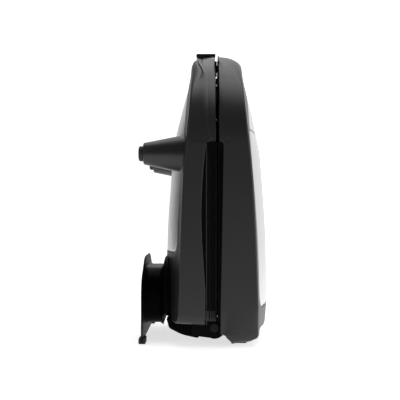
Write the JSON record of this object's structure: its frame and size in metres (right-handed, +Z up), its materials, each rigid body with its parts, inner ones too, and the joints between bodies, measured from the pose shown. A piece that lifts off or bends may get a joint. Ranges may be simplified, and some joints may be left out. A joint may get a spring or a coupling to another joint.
{
  "type": "sandwich toaster",
  "caption": "Clamshell sandwich toaster stood on its hinge end for storage, with crowned silver covers, tapered feet, a cord spool with a stand plate, a hinged lid and a sliding latch.",
  "frame": {"origin": "centre of the bounding box's bottom face, on the surface that it stands on for storage", "axes": "+Z up towards the handle end, +X towards the lid, -X towards the feet, Y along the hinge"},
  "size_m": [0.1228, 0.226, 0.281],
  "materials": {
    "shell_black": "smooth black plastic with a soft gloss",
    "cover_silver": "satin silver sheet",
    "frame_black": "fine-grained black heat-proof plastic",
    "nonstick": "cast aluminium with a dark non-stick coating",
    "element_steel": "heat-dulled steel tube",
    "tray_aluminium": "bright pressed sheet",
    "fastener_steel": "zinc-plated steel",
    "black_rubber": "soft black rubber",
    "foot_black": "satin black plastic",
    "spool_black": "glossy black plastic",
    "cream_plastic": "heat-proof cream moulding",
    "wire_sleeve": "glass-fibre sleeved wire",
    "red_lens": "clear red plastic",
    "green_lens": "clear green plastic"
  },
  "bodies": {
    "base": {"base_shell": "shell_black", "base_cover": "cover_silver", "base_frame": "frame_black", "base_plate": "nonstick", "base_heater": "element_steel", "base_reflector": "tray_aluminium", "base_screws": "fastener_steel", "thermostat": "fastener_steel", "thermal_fuse": "wire_sleeve", "terminal_block": "cream_plastic", "base_wires": "wire_sleeve", "rear_cover": "spool_black", "cord_gland": "black_rubber", "hinge_ears": "frame_black", "hinge_pins": "fastener_steel", "front_foot_left": "foot_black", "front_foot_right": "foot_black", "foot_pad_left": "black_rubber", "foot_pad_right": "black_rubber", "cord_spool": "spool_black", "stand_plate": "spool_black", "stand_shoes": "black_rubber", "stand_screws": "fastener_steel", "latch_guide": "frame_black"},
    "lid": {"lid_shell": "shell_black", "lid_cover": "cover_silver", "lid_cover_front": "cover_silver", "lid_frame": "frame_black", "lid_plate": "nonstick", "lid_heater": "element_steel", "lid_reflector": "tray_aluminium", "lid_screws": "fastener_steel", "lid_wires": "wire_sleeve", "lid_heels": "black_rubber", "lid_keeper": "frame_black", "hinge_arms": "frame_black", "lamp_holder": "cream_plastic", "power_lens": "red_lens", "ready_lens": "green_lens"},
    "latch": {"latch_slider": "foot_black"}
  },
  "joints": [
    {"name": "lid_hinge", "type": "hinge", "parent": "base", "child": "lid", "pos_m": [0.0087, 0, 0.0159], "axis": [0, 1, 0], "range_deg": [0, 95]},
    {"name": "latch_slide", "type": "slide", "parent": "base", "child": "latch", "axis": [0, -1, 0], "range_m": [0, 0.011]}
  ]
}
